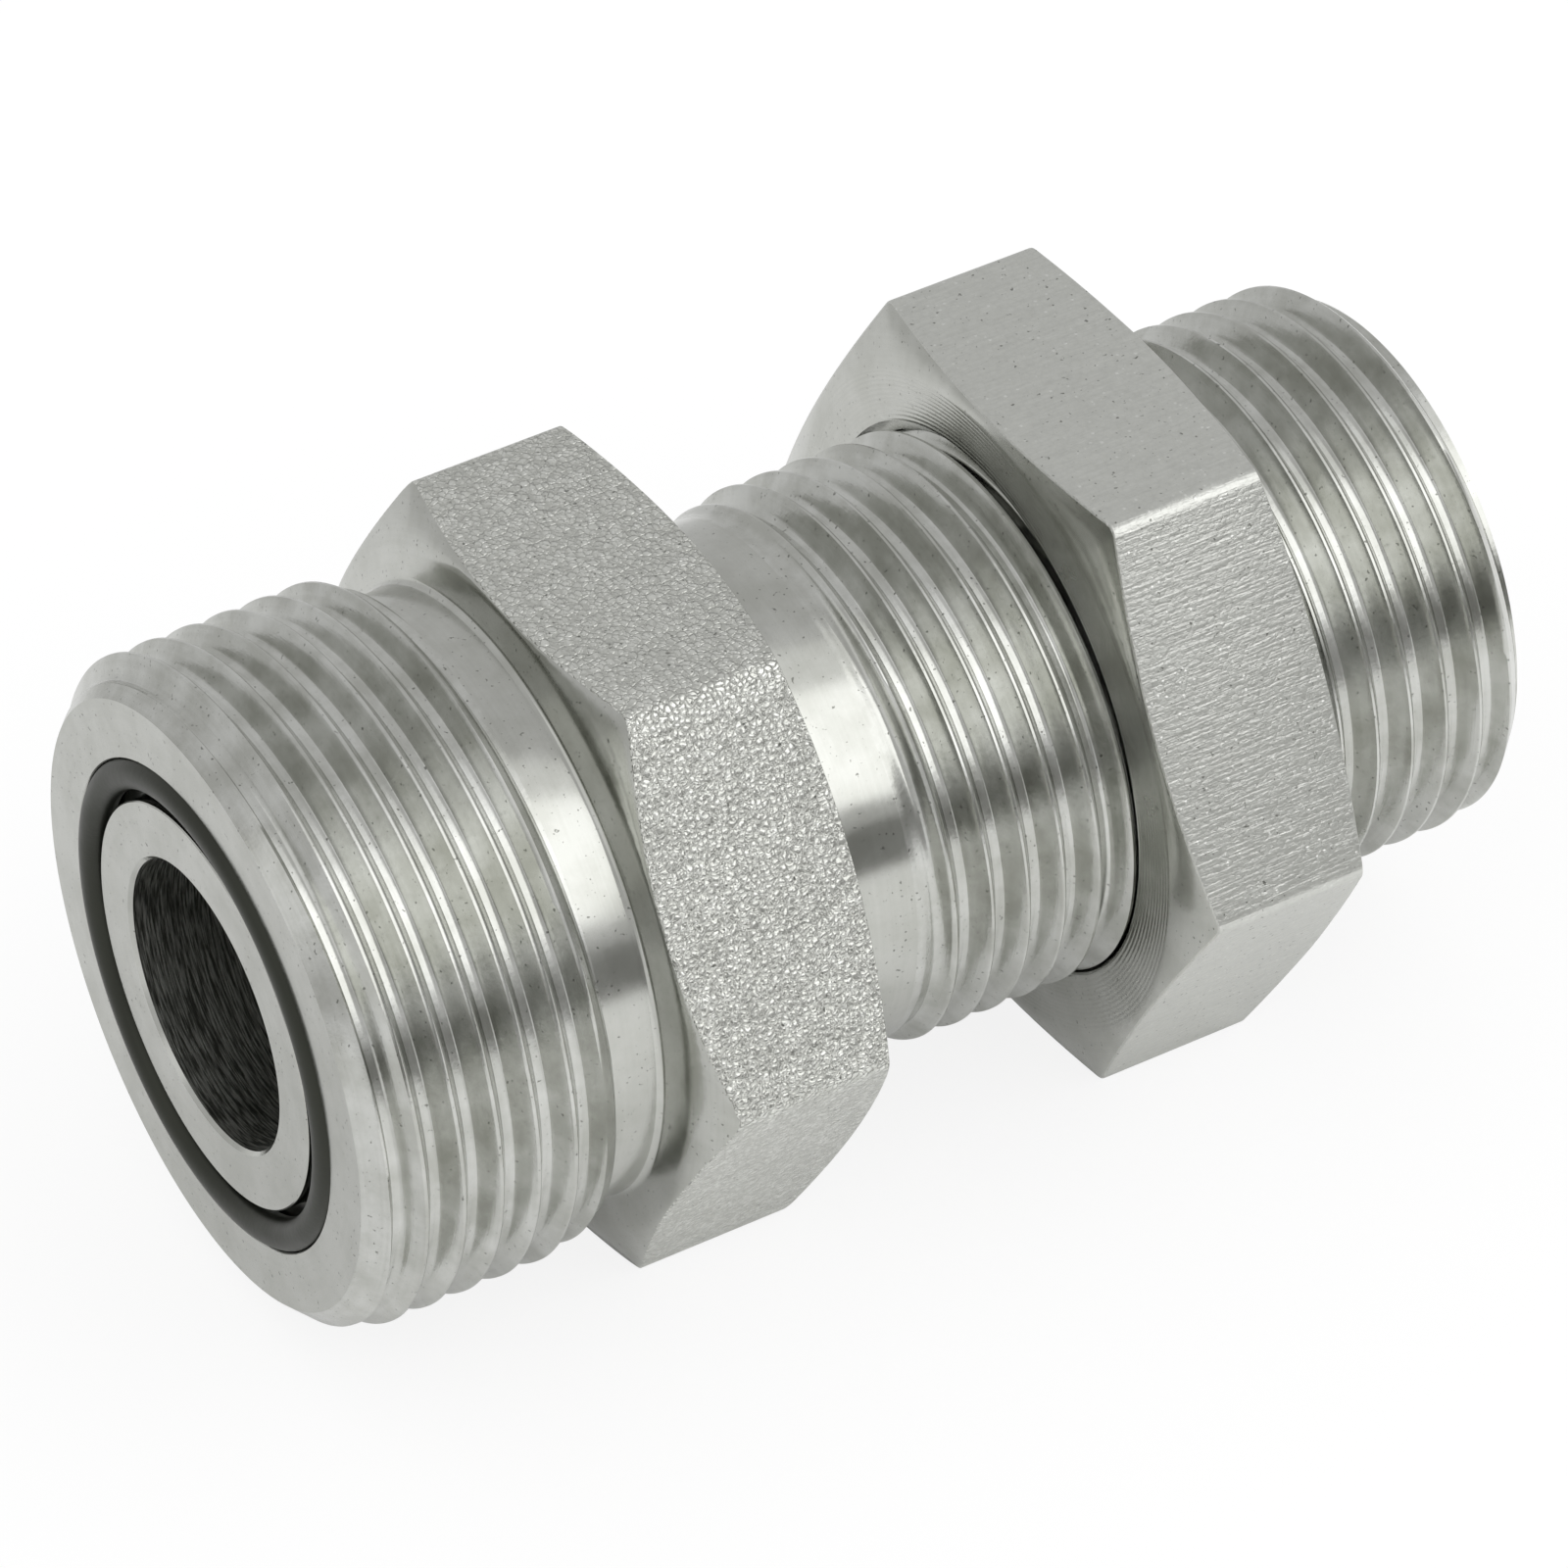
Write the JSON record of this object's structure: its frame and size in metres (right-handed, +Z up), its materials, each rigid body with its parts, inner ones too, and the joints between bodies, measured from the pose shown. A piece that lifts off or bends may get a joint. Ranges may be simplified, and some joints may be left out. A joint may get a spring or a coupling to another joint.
{
  "type": "face seal bulkhead union",
  "caption": "Straight reducing bulkhead union for hydraulic tube: hexagon body, externally threaded ends with O-ring face seals, and a hexagon locknut for the panel.",
  "frame": {"origin": "on the bore axis, in the plane of the body hexagon's face that bears on the panel", "axes": "+X along the bore axis towards the small end that passes the panel, +Z up and square to two flats of each hexagon"},
  "size_m": [0.0708, 0.0434, 0.0376],
  "materials": {
    "plated_steel": "zinc plated, turned and drawn surfaces",
    "nitrile_rubber": "matt black"
  },
  "bodies": {
    "union": {"union_body": "plated_steel", "large_o_ring": "nitrile_rubber", "small_o_ring": "nitrile_rubber"},
    "locknut": {"locknut": "plated_steel"}
  },
  "joints": [
    {"name": "locknut_travel", "type": "slide", "parent": "union", "child": "locknut", "axis": [1, 0, 0], "range_m": [-0.01058, 0.0254]}
  ]
}
